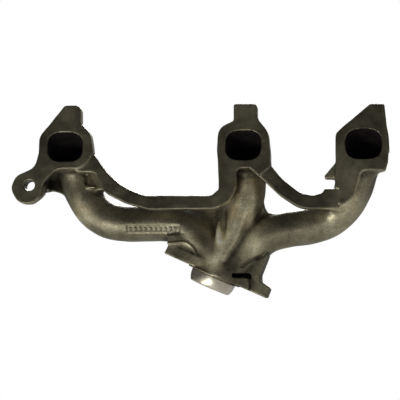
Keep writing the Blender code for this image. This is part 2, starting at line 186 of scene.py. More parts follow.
# Ribs and webs behind the head plane, in X and Z.
LEFT_RIB = [
    (-63.4, -70.0, 0), (-61.9, -78.9, 3), (-64.6, -84.0, 0), (-66.0, -88.0, 0), (-36.0, -102.0, 0),
    (-37.0, -84.0, 0), (-46.0, -70.0, 0),
]
RIGHT_RIB = [
    (19.4, -80.0, 0), (18.7, -86.2, 0), (12.4, -102.0, 6), (12.8, -107.6, 4),
    (20.0, -112.6, 0), (16.0, -124.0, 0), (-9.0, -116.0, 0), (-9.0, -88.0, 0),
]
EAR_WEB = [
    (-168.5, -21.2, 2), (-160.0, -12.0, 0), (-144.0, -12.0, 0), (-144.0, -36.4, 0),
    (-152.0, -34.8, 4), (-160.4, -32.3, 14), (-167.5, -34.0, 2),
]
EAR_WALL = [
    (-167.0, -19.6, 1), (-163.8, -16.1, 1), (-161.6, -32.4, 1), (-165.6, -33.4, 1),
]
LEFT_BAR_WEB = [
    (-133.0, -15.2, 0), (-124.0, -12.2, 0), (-113.0, -27.0, 0), (-115.5, -33.6, 3),
    (-133.0, -33.6, 0),
]
LEG_WEB = [
    (74.6, -24.0, 0), (84.0, -24.0, 0), (84.0, -46.0, 0), (77.8, -46.0, 0), (77.2, -36.5, 0),
    (74.6, -34.6, 0),
]
RUNNER_WEB = [
    (-66.0, -44.5, 0), (-12.0, -44.5, 0), (-12.0, -74.0, 0), (-40.0, -74.0, 0), (-66.0, -62.0, 0),
]
CROTCH_RIGHT = [
    (4.0, -46.0, 0), (14.0, -46.0, 0), (18.0, -52.0, 4), (30.0, -56.0, 0), (30.0, -62.0, 0),
    (4.0, -72.0, 0),
]
WEB_BACK = 26.0
# Plates between the pipes, as (corners, front, back, edge, lean, blend).
PIPE_WEBS = [
    (RUNNER_WEB, 23.0, 32.0, 2.0, 0.25, 9.0), (CROTCH_RIGHT, 26.0, 37.0, 2.0, 0.0, 5.0),
]
# Plates behind the head plane, in the same way. EAR_WALL joins EAR_WEB to the back of the ear,
# clear of a bolt head.
BACK_WEBS = [
    (EAR_WEB, 23.0, 28.0, 1.5, 0.6, 3.0), (EAR_WALL, 12.0, 29.0, 1.2, 0.3, 2.5),
    (LEFT_BAR_WEB, 17.0, WEB_BACK, 1.5, 0.0, 4.0), (LEG_WEB, 8.0, WEB_BACK, 1.0, 0.0, 2.5),
]

# Runner centrelines from the port to the outlet, as (x, y, z, outer radius).
RUNNER_ROUTES = {
    "left": [
        (-145.0, 0.0, 0.0, 16.4), (-145.0, 9.0, -0.5, 16.0), (-144.0, 20.5, -7.0, 15.0),
        (-140.6, 27.5, -19.0, 14.6), (-134.0, 28.5, -36.0, 14.6), (-124.8, 28.5, -49.2, 14.6),
        (-112.2, 28.5, -57.3, 14.6), (-97.0, 28.5, -59.8, 14.6), (-80.0, 28.5, -59.8, 14.6),
        (-64.0, 28.5, -60.0, 14.6), (-50.0, 28.4, -63.6, 14.6), (-38.4, 27.6, -73.2, 14.2),
        (-29.6, 25.8, -85.0, 13.6), (-24.4, 22.4, -97.0, 13.2), (-24.0, 20.8, -104.0, 13.0),
    ],
    "middle": [
        (0.0, 0.0, 0.0, 16.4), (0.0, 9.0, -0.5, 16.0), (0.2, 20.5, -7.0, 15.4),
        (0.2, 27.0, -18.0, 15.4), (0.2, 28.5, -31.0, 15.6), (-2.0, 28.0, -45.0, 15.2),
        (-5.4, 26.6, -58.0, 13.8), (-9.4, 24.8, -71.0, 12.2), (-14.4, 23.0, -82.0, 11.6),
        (-19.4, 21.4, -92.0, 11.8), (-22.8, 20.2, -104.0, 12.4),
    ],
    "right": [
        (96.0, 0.0, 0.0, 16.4), (96.0, 9.0, -0.5, 16.0), (95.0, 20.5, -7.0, 15.0),
        (92.0, 27.5, -19.0, 14.6), (87.3, 28.5, -33.0, 14.6), (79.0, 28.5, -47.0, 14.6),
        (66.5, 28.5, -57.5, 14.6), (51.0, 28.5, -62.8, 14.6), (35.0, 28.5, -64.8, 14.6),
        (19.0, 28.8, -69.0, 14.6), (7.6, 28.4, -77.0, 14.6), (-1.6, 27.0, -87.0, 14.0),
        (-10.0, 24.8, -97.0, 13.4), (-17.0, 23.0, -104.0, 13.0),
    ],
}

# Fillets, as the distance over which two shapes blend.
PIPE_BLEND = 2.6
FLANGE_BLEND = 4.5
TRUNK_BLEND = 2.5
BORE_BLEND = 3.0
OUTLET_BORE_BLEND = 2.0
MOUTH_BLEND = 0.5
OUTLET_PLATE_BLEND = 2.5
RIB_BLEND = 1.2

# Small cast features: routes as (x, y, z, radius).
LEG_SHOULDER = [
    (98.0, 14.0, -17.0, 9.5), (90.0, 13.5, -31.0, 10.5), (82.0, 14.5, -41.5, 10.5),
    (75.5, 21.0, -49.5, 9.0),
]
VALLEY_RIDGE = [
    (-20.4, 20.0, -61.0, 1.8), (-20.6, 16.8, -66.0, 2.4), (-20.6, 15.2, -74.0, 2.8),
    (-20.8, 14.4, -82.0, 3.0), (-22.0, 14.2, -91.0, 3.0),
]
VALLEY_GROOVE = [
    (-16.6, 21.0, -50.0, 1.4), (-16.8, 18.0, -58.0, 1.7), (-16.8, 15.8, -65.0, 1.7),
    (-17.0, 13.0, -72.0, 1.0),
]
RIB_BEAD = [
    (-62.0, 15.2, -77.2, 0.9), (-49.0, 15.0, -76.6, 1.1), (-42.3, 14.8, -80.7, 1.1),
    (-38.6, 14.8, -86.8, 1.0),
]
WEB_NUB = [(-129.4, 15.6, -31.2, 1.3), (-123.0, 15.4, -31.2, 1.2)]
WEB_SLOT = [(-130.4, 16.2, -21.4, 1.0), (-130.3, 16.2, -28.4, 1.0)]
# Creases in the front of the collector, as (x, z) points: between the middle and right
# runners, and along the lower edge of the right runner.
VALLEY_CREASE = [
    (3.0, -56.3), (0.6, -64.4), (-2.7, -72.5), (-5.9, -78.9), (-10.7, -86.2), (-14.8, -92.7),
]
FLANGE_CREASE = [(-1.7, -96.0), (2.4, -92.4), (7.2, -90.0), (12.8, -88.0), (17.7, -84.3)]
CREASE_BACK = 26.0

# Waves in the cast surface, as (height, size, seed): outside, and in the bores.
SKIN_WAVES = [(0.22, 14.0, 3), (0.10, 5.0, 8)]
BORE_WAVE = (0.25, 9.0, 5)

# A face nearer to a ground plane than this, and turned the same way, is a ground one.
GROUND_DEPTH = 0.4
HEAD_FACING = 0.85
OUTLET_FACING = 0.9
# A face in a bore, or no farther than this from one, is the bore's.
BORE_DEPTH = 0.9
# The casting's materials, by slot.
CAST, GROUND, BORE = 0, 1, 2

# Painted highlights, reflections and shade, as (x, z, spread, change): areas painted lighter or
# darker than the rest, on the ground faces, and on the cast skin.
GROUND_PAINTED_LIGHT = [
    (-141.0, 26.0, 9.0, 0.5), (1.0, 26.0, 8.0, 0.8), (84.0, -28.0, 11.0, 1.1),
    (96.0, 22.0, 9.0, -0.1), (-164.0, 4.0, 8.0, -0.5), (42.0, -44.0, 18.0, -0.35),
    (-80.0, -46.0, 22.0, -0.3),
]
CAST_PAINTED_LIGHT = [
    (-9.0, -60.0, 13.0, 2.0), (3.0, -79.0, 8.0, 2.0), (-19.6, -72.0, 4.5, 2.6),
    (-25.0, -93.0, 5.5, 2.6), (-11.0, -98.0, 5.0, -0.5), (3.0, -97.0, 5.0, -0.5),
    (0.0, -34.0, 9.0, 1.0), (74.0, -58.0, 10.0, 1.2), (88.0, -42.0, 8.0, 1.0),
    (40.0, -48.0, 12.0, -0.4), (30.0, -62.0, 6.0, -0.5), (-90.0, -48.0, 16.0, -0.45),
    (-50.0, -50.0, 10.0, -0.4), (-0.8, -66.0, 3.5, -0.5), (-2.5, -72.0, 4.0, -0.5),
    (-6.0, -78.0, 4.5, -0.45), (-9.0, -86.0, 4.5, -0.45), (-16.6, -54.0, 3.0, -0.55),
    (10.0, -91.0, 4.0, -0.45), (-18.5, -79.0, 3.5, 0.8), (-17.7, -84.0, 3.5, 0.7),
    (-21.5, -92.0, 3.5, 0.6), (-134.0, -54.0, 7.0, 1.2), (-119.0, -61.0, 6.0, -0.3),
    (-138.0, -22.0, 6.0, 0.6), (-54.0, -90.0, 7.0, -0.5), (-46.0, -79.0, 3.0, 1.5),
    (-34.0, -76.0, 5.0, -0.3), (-4.0, -110.0, 8.0, -0.6), (-160.0, -28.0, 7.0, -0.8),
]
# Painted light and shade fade over the fade length in front of the back limit: the back is plain.
PAINTED_LIGHT_BACK = 38.0
PAINTED_LIGHT_FADE = 8.0
# Painted shade in pockets: how much darker the iron is painted as the share of iron within the
# reach of a point grows, from an open face into a pocket.
POCKET_SHADE_REACH = 7.0
POCKET_SHADE_STEPS = (0.49, 0.57, 0.68)
POCKET_SHADE_LEVELS = (1.0, 0.5, 0.18)

# The recessed pad on the front of the left runner, with plain cast marks in it.
PAD_X = (-96.0, -52.4)
PAD_Z = (-68.6, -62.4)
PAD_Y = (8.0, 28.0)
PAD_MARGIN = 2.0
PAD_DEPTH = 0.45
MARK_PITCH = 4.1
MARK_START = 0.7
MARK_HALF_WIDTH = 1.05
MARK_HALF_HEIGHT = 1.9
MARK_HEIGHT = 0.55

# The camera, in metres and degrees.
CAMERA_AZIMUTH = 7
CAMERA_ELEVATION = -7
CAMERA_ROLL = 0.5
CAMERA_TARGET = (-0.03446, 0.0, -0.04407)
CAMERA_DISTANCE = 1.5
CAMERA_LENS = 168.75
CAMERA_SENSOR = 36.0

# Lamps round LIT_POINT, as (name, azimuth, elevation, distance, size, watts), in metres.
LAMPS = [
    ("key", -52, -36, 0.7, (0.22, 0.22), 0.85), ("front", -20, -30, 0.7, (0.18, 0.18), 1.50),
    ("right", 55, -8, 0.7, (0.22, 0.22), 0.25), ("back", 170, 25, 1.0, (0.9, 0.7), 1.0),
]
LIT_POINT = (-0.034, 0.02, -0.045)
ROOM_LIGHT_ABOVE = 0.16
FLOOR_HEIGHT = -0.66
FLOOR_HALF_WIDTH = 4.0
FLOOR_COLOUR = (0.82, 0.82, 0.81, 1.0)
FLOOR_ROUGHNESS = 0.8


# ---- Camera ---------------------------------------------------------------------------------
def heading(azimuth, elevation):
    """The direction of a place seen at those degrees from the object: 0, 0 is the head's side."""
    turn, lift = math.radians(azimuth), math.radians(elevation)
    return Vector((
        math.sin(turn) * math.cos(lift), -math.cos(turn) * math.cos(lift), math.sin(lift)
    ))


def add_camera():
    """Looks at the head face from a little below and to the right, as the photograph does."""
    azimuth, roll = math.radians(CAMERA_AZIMUTH), math.radians(CAMERA_ROLL)
    back = heading(CAMERA_AZIMUTH, CAMERA_ELEVATION)
    right = Vector((math.cos(azimuth), math.sin(azimuth), 0.0))
    up = back.cross(right)
    rolled_right = right * math.cos(roll) + up * math.sin(roll)
    rolled_up = up * math.cos(roll) - right * math.sin(roll)
    data = bpy.data.cameras.new("camera")
    data.sensor_width = CAMERA_SENSOR
    data.lens = CAMERA_LENS
    camera = bpy.data.objects.new("camera", data)
    turned = Matrix((rolled_right, rolled_up, back)).transposed().to_4x4()
    place = Vector(CAMERA_TARGET) + back * CAMERA_DISTANCE
    camera.matrix_world = Matrix.Translation(place) @ turned
    bpy.context.scene.collection.objects.link(camera)
    bpy.context.scene.camera = camera


# ---- Distance fields ------------------------------------------------------------------------
def smooth_min(a, b, blend):
    """The smaller distance, with a fillet about as wide as blend where the two are alike."""
    if blend == 0:
        return np.minimum(a, b)
    share = np.clip(0.5 + 0.5 * (b - a) / blend, 0, 1)
    return b + (a - b) * share - blend * share * (1 - share)


class Shape:
    """A distance function of (x, y, z), and the box that holds the shape."""

    def __init__(self, distance, low, high):
        self.distance, self.low, self.high = distance, np.array(low), np.array(high)


class Field:
    """Signed distances on a grid round the whole casting, negative inside."""

    def __init__(self):
        low = np.array(CAD_BOX[0]) / MM - 4 * VOXEL
        high = np.array(CAD_BOX[1]) / MM + 4 * VOXEL
        self.axes = [np.arange(a, b, VOXEL, dtype=np.float32) for a, b in zip(low, high)]
        self.values = np.full([len(axis) for axis in self.axes], FAR, np.float32)

    def window(self, low, high):
        """The part of the grid in a box, and its coordinates ready for broadcasting."""
        cut = tuple(
            slice(*np.searchsorted(axis, (a, b))) for axis, a, b in zip(self.axes, low, high)
        )
        x, y, z = (axis[part] for axis, part in zip(self.axes, cut))
        return cut, x[:, None, None], y[None, :, None], z[None, None, :]

    def add(self, shape, blend=0.0):
        """Adds a shape to the metal, with a fillet."""
        reach = REACH + blend
        cut, x, y, z = self.window(shape.low - reach, shape.high + reach)
        self.values[cut] = smooth_min(self.values[cut], shape.distance(x, y, z), blend)

    def cut(self, shape, blend=0.0):
        """Takes a shape away from the metal."""
        reach = REACH + blend
        cut, x, y, z = self.window(shape.low - reach, shape.high + reach)
        self.values[cut] = -smooth_min(-self.values[cut], shape.distance(x, y, z), blend)

    def merge(self, other, blend=0.0):
        """Adds a whole field to this one."""
        self.values = smooth_min(self.values, other.values, blend)

    def carve(self, other, blend=0.0):
        """Takes a whole field away from this one."""
        self.values = -smooth_min(-self.values, other.values, blend)

    def even_out(self, passes):
        """Averages neighbouring values, which takes the facets out of a bend."""
        for _ in range(passes):
            for number in range(3):
                values = np.moveaxis(self.values, number, 0)
                values[1:-1] = (values[:-2] + 2 * values[1:-1] + values[2:]) / 4


# ---- Shapes ---------------------------------------------------------------------------------
def rounded(corners, offset_x):
    """The outline through the corners, with each corner turned into an arc of its radius."""
    outline = []
    for index, (x, z, radius) in enumerate(corners):
        corner = np.array((x, z))
        to_last = np.array(corners[index - 1][:2]) - corner
        to_next = np.array(corners[(index + 1) % len(corners)][:2]) - corner
        to_last /= np.linalg.norm(to_last)
        to_next /= np.linalg.norm(to_next)
        opening = math.acos(float(np.clip(to_last @ to_next, -1, 1)))
        if radius == 0 or opening > math.radians(178):
            outline.append(corner)
            continue
        bisector = (to_last + to_next) / np.linalg.norm(to_last + to_next)
        centre = corner + bisector * radius / math.sin(opening / 2)
        reach = radius / math.tan(opening / 2)
        start = corner + to_last * reach - centre
        end = corner + to_next * reach - centre
        first = math.atan2(start[1], start[0])
        sweep = (math.atan2(end[1], end[0]) - first + math.pi) % math.tau - math.pi
        steps = max(1, math.ceil(abs(math.degrees(sweep)) / ARC_STEP))
        for turn in np.linspace(first, first + sweep, steps + 1):
            outline.append(centre + radius * np.array((math.cos(turn), math.sin(turn))))
    return np.array(outline) + np.array((offset_x, 0.0))


def outline_distance(outline, u, v):
    """Signed distance to a closed outline in a plane."""
    nearest = np.full(np.broadcast(u, v).shape, FAR**2, np.float32)
    inside = np.zeros(nearest.shape, bool)
    for (au, av), (bu, bv) in zip(outline, np.roll(outline, -1, axis=0)):
        du, dv = bu - au, bv - av
        length_squared = du * du + dv * dv
        if length_squared < 1e-12:
            continue
        t = np.clip(((u - au) * du + (v - av) * dv) / length_squared, 0, 1)
        nearest = np.minimum(nearest, (u - au - t * du) ** 2 + (v - av - t * dv) ** 2)
        if av != bv:
            crosses = ((av <= v) != (bv <= v)) & (u < au + (v - av) * du / dv)
            inside ^= np.broadcast_to(crosses, inside.shape)
    nearest = np.sqrt(nearest)
    return np.where(inside, -nearest, nearest)


def extruded(flat_distance, height, low, high, edge):
    """A flat shape between two heights, with its edges rounded by edge."""
    across = flat_distance + edge
    along = np.abs(height - (low + high) / 2) - (high - low) / 2 + edge
    outside = np.hypot(np.maximum(across, 0), np.maximum(along, 0))
    return np.minimum(np.maximum(across, along), 0) + outside - edge


def plate(corners, front, back, edge, offset_x=0.0, lean=0.0):
    """A plate parallel to the head face, or leaning back from its lower edge by lean per mm."""
    outline = rounded(corners, offset_x)
    (low_x, low_z), (high_x, high_z) = outline.min(axis=0), outline.max(axis=0)

    def distance(x, y, z):
        depth = y - lean * (z - low_z)
        return extruded(outline_distance(outline, x, z), depth, front, back, edge)

    deepest = back + lean * (high_z - low_z)
    return Shape(distance, (low_x, front, low_z), (high_x, deepest, high_z))


def cylinder_y(centre, radius, front, back, edge=0.3):
    """A round boss or hole whose axis runs along Y."""
    x0, z0 = centre

    def distance(x, y, z):
        return extruded(np.hypot(x - x0, z - z0) - radius, y, front, back, edge)

    return Shape(distance, (x0 - radius, front, z0 - radius), (x0 + radius, back, z0 + radius))


def block(low, high, edge):
    """A box with rounded edges."""
    low, high = np.array(low), np.array(high)

    def distance(x, y, z):
        centre, half = (low + high) / 2, (high - low) / 2 - edge
        out = [np.abs(c - m) - h for c, m, h in zip((x, y, z), centre, half)]
        deepest = np.maximum(np.maximum(out[0], out[1]), out[2])
        rest = np.sqrt(sum(np.maximum(side, 0) ** 2 for side in out))
        return np.minimum(deepest, 0) + rest - edge

    return Shape(distance, low, high)


def outlet_coordinates(x, y, z):
    """(u, v, height): u to the right, v away from the head, height above the flange's face."""
    offset = [c - centre for c, centre in zip((x, y, z), OUTLET_CENTRE)]
    axes = (OUTLET_ACROSS, OUTLET_AWAY, -OUTLET_AXIS)
    return tuple(sum(o * a for o, a in zip(offset, axis)) for axis in axes)


def outlet_box(radius, low, high):
    """The box in X, Y, Z that holds everything of that radius round the outlet's axis."""
    ends = [OUTLET_CENTRE - OUTLET_AXIS * height for height in (low, high)]
    return np.min(ends, axis=0) - radius, np.max(ends, axis=0) + radius


def outlet_cylinder(radius, low, high, u0=0.0, edge=0.4):
    """A round boss or hole along the outlet's axis, u0 to the right of it."""
    def distance(x, y, z):
        u, v, height = outlet_coordinates(x, y, z)
        return extruded(np.hypot(u - u0, v) - radius, height, low, high, edge)

    return Shape(distance, *outlet_box(radius + abs(u0), low, high))


def outlet_plate(edge):
    """The two-eared outlet flange: a waist disc and two ear discs inside one taut outline."""
    slope = (OUTLET_WAIST_RADIUS - OUTLET_EAR_RADIUS) / OUTLET_EAR_OFFSET
    lean = math.sqrt(1 - slope * slope)

    def distance(x, y, z):
        u, v, height = outlet_coordinates(x, y, z)
        u, v = np.abs(u), np.abs(v)
        along = lean * u - slope * v
        flat = np.where(
            along < 0,
            np.hypot(u, v) - OUTLET_WAIST_RADIUS,
            np.where(
                along > lean * OUTLET_EAR_OFFSET,
                np.hypot(u - OUTLET_EAR_OFFSET, v) - OUTLET_EAR_RADIUS,
                slope * u + lean * v - OUTLET_WAIST_RADIUS,
            ),
        )
        return extruded(flat, height, 0, OUTLET_THICKNESS, edge)

    return Shape(distance, *outlet_box(OUTLET_EAR_OFFSET + OUTLET_EAR_RADIUS, 0, OUTLET_THICKNESS))


def smooth_route(route, per_span):
    """A Catmull-Rom curve through the route's points, as (x, y, z, radius) rows."""
    knots = np.array(route, float)
    knots = np.vstack((2 * knots[0] - knots[1], knots, 2 * knots[-1] - knots[-2]))
    rows = []
    for before, here, there, after in zip(knots, knots[1:], knots[2:], knots[3:]):
        for t in np.linspace(0, 1, per_span, endpoint=False):
            line = 2 * here + (there - before) * t
            bend = (2 * before - 5 * here + 4 * there - after) * t**2
            twist = (3 * here - 3 * there + after - before) * t**3
            rows.append((line + bend + twist) / 2)
    rows.append(knots[-2])
    return np.array(rows)


def round_length(start, end):
    """A length of round rod from one (x, y, z, radius) row to the next."""
    a, b = start[:3], end[:3]
    run = b - a

    def distance(x, y, z):
        t = ((x - a[0]) * run[0] + (y - a[1]) * run[1] + (z - a[2]) * run[2]) / (run @ run)
        t = np.clip(t, 0, 1)
        squares = (x - a[0] - t * run[0]) ** 2 + (y - a[1] - t * run[1]) ** 2
        squares = squares + (z - a[2] - t * run[2]) ** 2
        return np.sqrt(squares) - (start[3] + t * (end[3] - start[3]))

    radius = max(start[3], end[3])
    return Shape(distance, np.minimum(a, b) - radius, np.maximum(a, b) + radius)


def port_length(start, end, roundness, inset):
    """A length of rod whose section turns from the port's shape into round."""
    a, b = start[:3], end[:3]
    run = b - a
    length = np.linalg.norm(run)
    ahead = run / length
    sideways = np.array((1.0, 0.0, 0.0))
    sideways = sideways - ahead * (ahead @ sideways)
    sideways /= np.linalg.norm(sideways)
    up = np.cross(sideways, ahead)

    def distance(x, y, z):
        off = (x - a[0], y - a[1], z - a[2])
        travelled = sum(o * d for o, d in zip(off, ahead))
        t = np.clip(travelled / length, 0, 1)
        beyond = np.maximum(np.abs(travelled - t * length) - JOINT_OVERLAP, 0)
        share = roundness[0] + t * (roundness[1] - roundness[0])
        radius = start[3] + t * (end[3] - start[3]) - inset
        half_width = share * radius + (1 - share) * (PORT_HALF_WIDTH + WALL - inset)
        half_height = share * radius + (1 - share) * (PORT_HALF_HEIGHT + WALL - inset)
        power = PORT_SQUARENESS + share * (2 - PORT_SQUARENESS)
        u = np.abs(sum(o * d for o, d in zip(off, sideways))) / half_width
        v = np.abs(sum(o * d for o, d in zip(off, up))) / half_height
        section = ((u**power + v**power) ** (1 / power) - 1) * half_height
        return np.where(beyond > 0, np.hypot(np.maximum(section, 0), beyond), section)

    radius = PORT_HALF_WIDTH + WALL
    return Shape(distance, np.minimum(a, b) - radius, np.maximum(a, b) + radius)


def runner(side, inset):
    """The whole of one runner, solid, as a field. An inset of WALL gives its bore."""
    rows = smooth_route(RUNNER_ROUTES[side], RUNNER_LENGTHS)
    steps = np.linalg.norm(np.diff(rows[:, :3], axis=0), axis=1)
    travelled = np.concatenate(([0.0], np.cumsum(steps)))
    roundness = np.clip((travelled - ROUND_FROM) / (ROUND_AT - ROUND_FROM), 0, 1)
    rows[0, 1] -= PORT_START
    field = Field()
    for here in range(len(rows) - 1):
        there = here + 1
        if roundness[here] < 1:
            part = port_length(rows[here], rows[there], roundness[[here, there]], inset)
        else:
            shrink = np.array((0, 0, 0, inset))
            part = round_length(rows[here] - shrink, rows[there] - shrink)
        field.add(part)
    return field


def add_route(field, route, blend, remove=False):
    """Adds a bead of metal along a route, or takes a groove away."""
    rows = smooth_route(route, ROUTE_LENGTHS)
    bead = Field()
    for start, end in zip(rows, rows[1:]):
        bead.add(round_length(start, end))
    (field.carve if remove else field.merge)(bead, blend)


def add_crease(field, path, width, depth):
    """Sinks the front of the casting along a path of (x, z) points."""
    points = np.array(path)
    low, high = points.min(axis=0) - 4 * width, points.max(axis=0) + 4 * width
    cut, x, _, z = field.window((low[0], 0, low[1]), (high[0], CREASE_BACK, high[1]))
    nearest = np.full(np.broadcast_shapes(x.shape, z.shape), FAR, np.float32)
    for a, b in zip(points, points[1:]):
        run = b - a
        t = np.clip(((x - a[0]) * run[0] + (z - a[1]) * run[1]) / (run @ run), 0, 1)
        nearest = np.minimum(nearest, np.hypot(x - a[0] - t * run[0], z - a[1] - t * run[1]))
    field.values[cut] += depth * np.exp(-((nearest / width) ** 2) / 2)


def unevenness(field, cell, seed):
    """Smooth random values between -1 and 1 on the grid, that change over cell millimetres."""
    generator = np.random.default_rng(seed)
    counts = [int(len(axis) * VOXEL / cell) + 3 for axis in field.axes]
    values = generator.uniform(-1, 1, counts).astype(np.float32)
    for number, axis in enumerate(field.axes):
        place = (axis - axis[0]) / cell
        index = place.astype(int)
        share = place - index
        share = share * share * (3 - 2 * share)
        weights = np.zeros((len(axis), counts[number]), np.float32)
        weights[np.arange(len(axis)), index] = 1 - share
        weights[np.arange(len(axis)), index + 1] = share
        values = np.moveaxis(np.tensordot(weights, values, axes=(1, number)), 0, number)
    return values


# ---- The casting ----------------------------------------------------------------------------
def cast_pad(field):
    """Sinks the pad into the front of the left runner, and raises plain marks in it."""
    low = (PAD_X[0] - PAD_MARGIN, PAD_Y[0], PAD_Z[0] - PAD_MARGIN)
    high = (PAD_X[1] + PAD_MARGIN, PAD_Y[1], PAD_Z[1] + PAD_MARGIN)
    cut, x, _, z = field.window(low, high)
    middle_x, middle_z = sum(PAD_X) / 2, sum(PAD_Z) / 2
    out_x = np.abs(x - middle_x) - (PAD_X[1] - PAD_X[0]) / 2
    out_z = np.abs(z - middle_z) - (PAD_Z[1] - PAD_Z[0]) / 2
    sunk = np.clip(0.5 - np.maximum(out_x, out_z) / VOXEL, 0, 1)
    field.values[cut] += PAD_DEPTH * sunk
    count = int((PAD_X[1] - PAD_X[0]) / MARK_PITCH)
    raised = np.zeros(1, np.float32)
    for number in range(count):
        centre = PAD_X[0] + MARK_PITCH * (number + MARK_START)
        u = np.abs(x - centre) / MARK_HALF_WIDTH
        v = np.abs(z - middle_z) / MARK_HALF_HEIGHT
        raised = np.maximum(raised, np.clip(1.5 * (1 - (u**3 + v**3) ** (1 / 3)), 0, 1))
    field.values[cut] -= MARK_HEIGHT * raised


def pipe_field():
    """The outside of the three runners, run together over the outlet."""
    pipes = Field()
    for side in PORT_X:
        pipes.merge(runner(side, 0.0), PIPE_BLEND)
    pipes.even_out(passes=4)
    add_route(pipes, VALLEY_RIDGE, 3.0)
    add_route(pipes, VALLEY_GROOVE, 3.0, remove=True)
    for corners, front, back, edge, lean, blend in PIPE_WEBS:
        pipes.add(plate(corners, front, back, edge, lean=lean), blend)
    pipes.add(outlet_cylinder(TRUNK_RADIUS, 1.0, TRUNK_HEIGHT, edge=3), TRUNK_BLEND)
    return pipes


def cast_iron_field():
    """The as-cast shape, before anything is ground or drilled."""
    field = Field()
    for side, corners in (
        ("left", LEFT_FLANGE), ("middle", MIDDLE_FLANGE), ("right", RIGHT_FLANGE),
    ):
        field.add(plate(corners, FLANGE_FRONT, FLANGE_BACK, 1.2, PORT_X[side]))
    field.add(cylinder_y(EAR_CENTRE, EAR_BOSS_RADIUS, EAR_FRONT, EAR_BACK, 1.5), 1.0)
    for corners in (LEFT_BAR, RIGHT_BAR):
        field.add(plate(corners, BAR_FRONT, BAR_BACK, 0.9), 0.8)
    field.add(plate(HOOK, HOOK_FRONT, FLANGE_BACK - 1, 0.7, PORT_X["right"]), 1.5)
    field.merge(pipe_field(), FLANGE_BLEND)

    for corners, front, back, edge, lean, blend in BACK_WEBS:
        field.add(plate(corners, front, back, edge, lean=lean), blend)
    add_route(field, LEG_SHOULDER, 8.0)
    add_route(field, WEB_NUB, 1.5)
    add_route(field, WEB_SLOT, 1.0, remove=True)

    field.add(outlet_plate(edge=0.8), OUTLET_PLATE_BLEND)
    for corners, front in ((LEFT_RIB, LEFT_RIB_FRONT), (RIGHT_RIB, RIGHT_RIB_FRONT)):
        field.add(plate(corners, front, RIB_BACK, 0.8), RIB_BLEND)
    add_route(field, RIB_BEAD, 1.0)
    field.cut(block(*FLANGE_NOTCH, edge=0.6))
    field.cut(block(*FLANGE_SLOT, edge=0.6), 0.6)
    add_crease(field, VALLEY_CREASE, width=2.0, depth=1.2)
    add_crease(field, FLANGE_CREASE, width=0.9, depth=1.3)
    cast_pad(field)
    return field


def machine(field):
    """Grinds the faces flat and drills the holes."""
    everywhere_low, everywhere_high = (-400, -50, -400), (400, 0, 400)
    field.cut(Shape(lambda x, y, z: y + 0 * x + 0 * z, everywhere_low, everywhere_high))

    def below_outlet(x, y, z):
        return outlet_coordinates(x, y, z)[2]

    low, high = outlet_box(OUTLET_GRIND_RADIUS, -OUTLET_GRIND_DEPTH, 0)
    low[0] = OUTLET_GRIND_FROM_X
    field.cut(Shape(below_outlet, low, high))
    field.add(outlet_cylinder(BOSS_RADIUS, -BOSS_HEIGHT, 0.6, edge=0.3))
    field.cut(cylinder_y(EAR_CENTRE, EAR_HOLE_RADIUS, DRILL_START, 30))
    for side in (-1, 1):
        offset = side * OUTLET_BOLT_OFFSET
        hole = outlet_cylinder(OUTLET_BOLT_RADIUS, DRILL_START, OUTLET_THICKNESS + 1, offset)
        field.cut(hole)


def bore_field():
    """The gas passage: three bores that join over the outlet."""
    bores = Field()
    for side in PORT_X:
        bores.merge(runner(side, WALL), BORE_BLEND)
    outlet = outlet_cylinder(OUTLET_BORE_RADIUS, DRILL_START, TRUNK_HEIGHT, edge=1)
    bores.add(outlet, OUTLET_BORE_BLEND)
    return bores


def skin_mesh(field, name):
    """The field's zero surface as a mesh in metres, with its faces turned outwards."""
    limit = 3 * VOXEL
    grid = openvdb.FloatGrid(background=limit)
    grid.copyFromArray(np.clip(field.values, -limit, limit), tolerance=0.0)
    points, quads = grid.convertToQuads(isovalue=0.0)
    start = np.array([axis[0] for axis in field.axes])
    points = points.astype(np.float64) * VOXEL + start
    corners = points[quads]
    diagonals = np.cross(corners[:, 2] - corners[:, 0], corners[:, 3] - corners[:, 1])
    if np.einsum("ij,ij->", diagonals, corners.mean(axis=1)) < 0:
        quads = quads[:, ::-1]
    mesh = bpy.data.meshes.new(name)
    mesh.vertices.add(len(points))
    mesh.vertices.foreach_set("co", (points * MM).astype(np.float32).ravel())
    mesh.loops.add(quads.size)
    mesh.loops.foreach_set("vertex_index", quads.astype(np.int32).ravel())
    mesh.polygons.add(len(quads))
    mesh.polygons.foreach_set("loop_start", np.arange(0, quads.size, 4, dtype=np.int32))
    mesh.update(calc_edges=True)
    mesh.validate()
    return mesh


def face_frames(mesh):
    """Centres in millimetres and normals of the faces."""
    count = len(mesh.polygons)
    centres = np.empty(count * 3, np.float32)
    normals = np.empty(count * 3, np.float32)
    mesh.polygons.foreach_get("center", centres)
    mesh.polygons.foreach_get("normal", normals)
    return centres.reshape(-1, 3) / MM, normals.reshape(-1, 3)


def sample(axes, values, points):
    """The value on the grid at the grid point nearest to each point."""
    index = [
        np.clip(np.rint((points[:, k] - axis[0]) / VOXEL).astype(int), 0, len(axis) - 1)
        for k, axis in enumerate(axes)
    ]
    return values[tuple(index)]


def enclosure(field, reach):
    """The share of iron within reach millimetres: a half on a flat, more down in a valley."""
    share = (field.values < 0).astype(np.float32)
    steps = int(reach / VOXEL)
    for axis in range(3):
        ends = [(0, 0)] * 3
        ends[axis] = (steps + 1, steps)
        total = np.cumsum(np.pad(share, ends), axis=axis, dtype=np.float32)
        count = share.shape[axis]
        width = 2 * steps + 1
        upper = np.take(total, np.arange(width, width + count), axis=axis)
        share = (upper - np.take(total, np.arange(count), axis=axis)) / width
    return share


